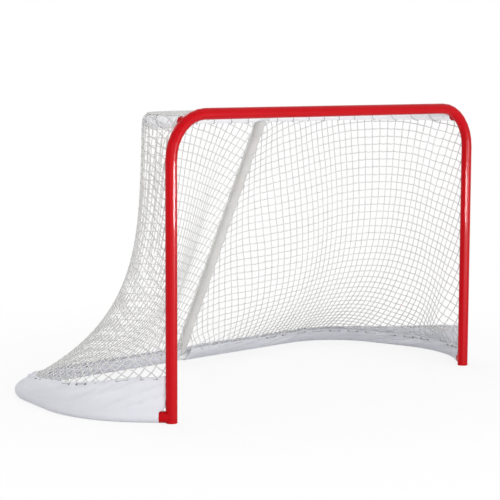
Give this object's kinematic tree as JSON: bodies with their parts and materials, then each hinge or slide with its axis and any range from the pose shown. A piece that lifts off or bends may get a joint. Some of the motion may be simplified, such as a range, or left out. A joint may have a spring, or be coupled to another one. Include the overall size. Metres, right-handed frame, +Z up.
{
  "type": "street hockey goal",
  "caption": "Free-standing steel tube hockey goal with a red front frame, white ground and shelf frames, a hung net, a laced ground skirt and a padded centre strut.",
  "frame": {"origin": "on the ground, at the middle of the bounding box", "axes": "+X along the crossbar, +Y from the mouth towards the back of the net, +Z up"},
  "size_m": [2.3682, 1.068, 1.2672],
  "materials": {
    "red_enamel": "gloss red enamel",
    "white_powder_coat": "satin white powder coat",
    "zinc_steel": "zinc plated",
    "black_plastic": "matte black",
    "cover_cloth": "coated white woven cloth",
    "net_cord": "white braided cord"
  },
  "bodies": {
    "root": {"crossbar": "red_enamel", "left_post": "red_enamel", "right_post": "red_enamel", "left_crossbar_spigot": "zinc_steel", "right_crossbar_spigot": "zinc_steel", "left_crossbar_bolt": "zinc_steel", "right_crossbar_bolt": "zinc_steel", "left_crossbar_nut": "zinc_steel", "right_crossbar_nut": "zinc_steel", "left_foot_plug": "black_plastic", "right_foot_plug": "black_plastic", "left_foot_socket": "red_enamel", "right_foot_socket": "red_enamel", "left_foot_bolt": "zinc_steel", "right_foot_bolt": "zinc_steel", "left_foot_nut": "zinc_steel", "right_foot_nut": "zinc_steel", "left_base_tube": "white_powder_coat", "right_base_tube": "white_powder_coat", "rear_base_tube": "white_powder_coat", "left_base_spigot": "zinc_steel", "right_base_spigot": "zinc_steel", "left_top_socket": "red_enamel", "right_top_socket": "red_enamel", "left_top_bolt": "zinc_steel", "right_top_bolt": "zinc_steel", "left_top_nut": "zinc_steel", "right_top_nut": "zinc_steel", "left_top_tube": "white_powder_coat", "right_top_tube": "white_powder_coat", "rear_top_tube": "white_powder_coat", "left_top_spigot": "zinc_steel", "right_top_spigot": "zinc_steel", "centre_strut": "white_powder_coat", "strut_foot_stub": "zinc_steel", "strut_head_stub": "zinc_steel", "strut_pad": "cover_cloth", "left_skirt": "cover_cloth", "right_skirt": "cover_cloth", "left_top_sleeve": "cover_cloth", "right_top_sleeve": "cover_cloth", "left_side_net": "net_cord", "right_side_net": "net_cord", "left_back_net": "net_cord", "right_back_net": "net_cord", "top_net": "net_cord"}
  },
  "joints": []
}
